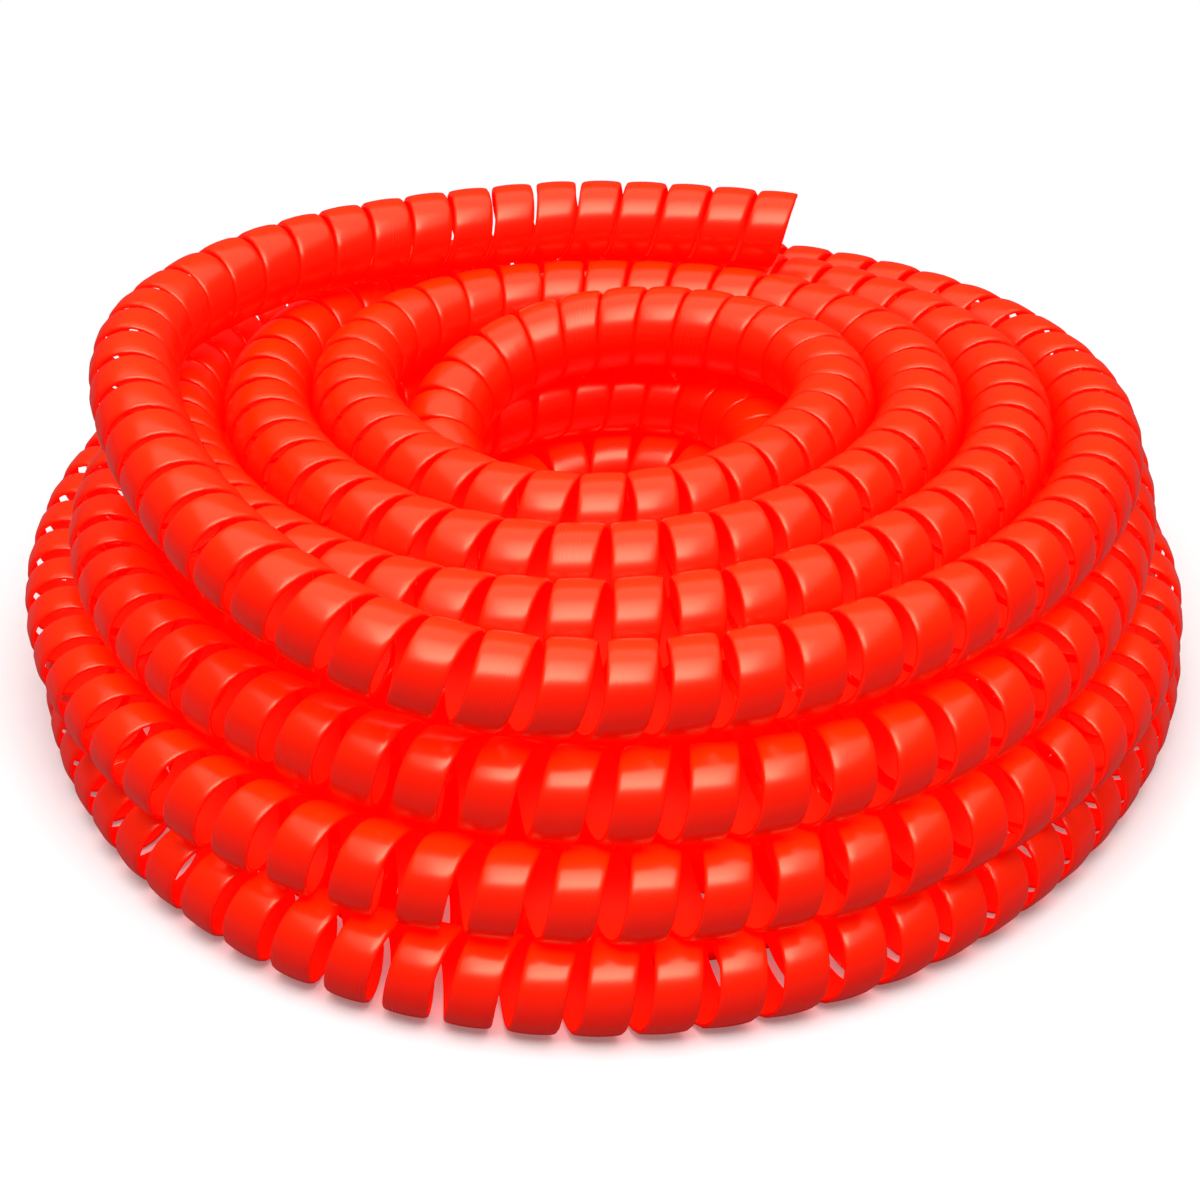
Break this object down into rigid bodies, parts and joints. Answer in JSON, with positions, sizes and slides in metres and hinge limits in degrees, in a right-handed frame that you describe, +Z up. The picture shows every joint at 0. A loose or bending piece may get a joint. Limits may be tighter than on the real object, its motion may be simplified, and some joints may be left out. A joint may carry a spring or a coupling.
{
  "type": "spiral hose guard coil",
  "caption": "Flexible spiral hose guard: a left-handed plastic strip round an open bore, wound up in a layered coil with its end free on top.",
  "frame": {"origin": "on the floor under the middle of the whole coil's box", "axes": "+Z up out of the floor, +X to the right and +Y to the back with the free end's cut pointing right, the coil's longest side along Y"},
  "size_m": [0.5707, 0.6134, 0.2007],
  "materials": {
    "guard_plastic": "saturated red polypropylene with a satin gloss"
  },
  "bodies": {
    "root": {"coil": "guard_plastic", "free_end": "guard_plastic"}
  },
  "joints": []
}
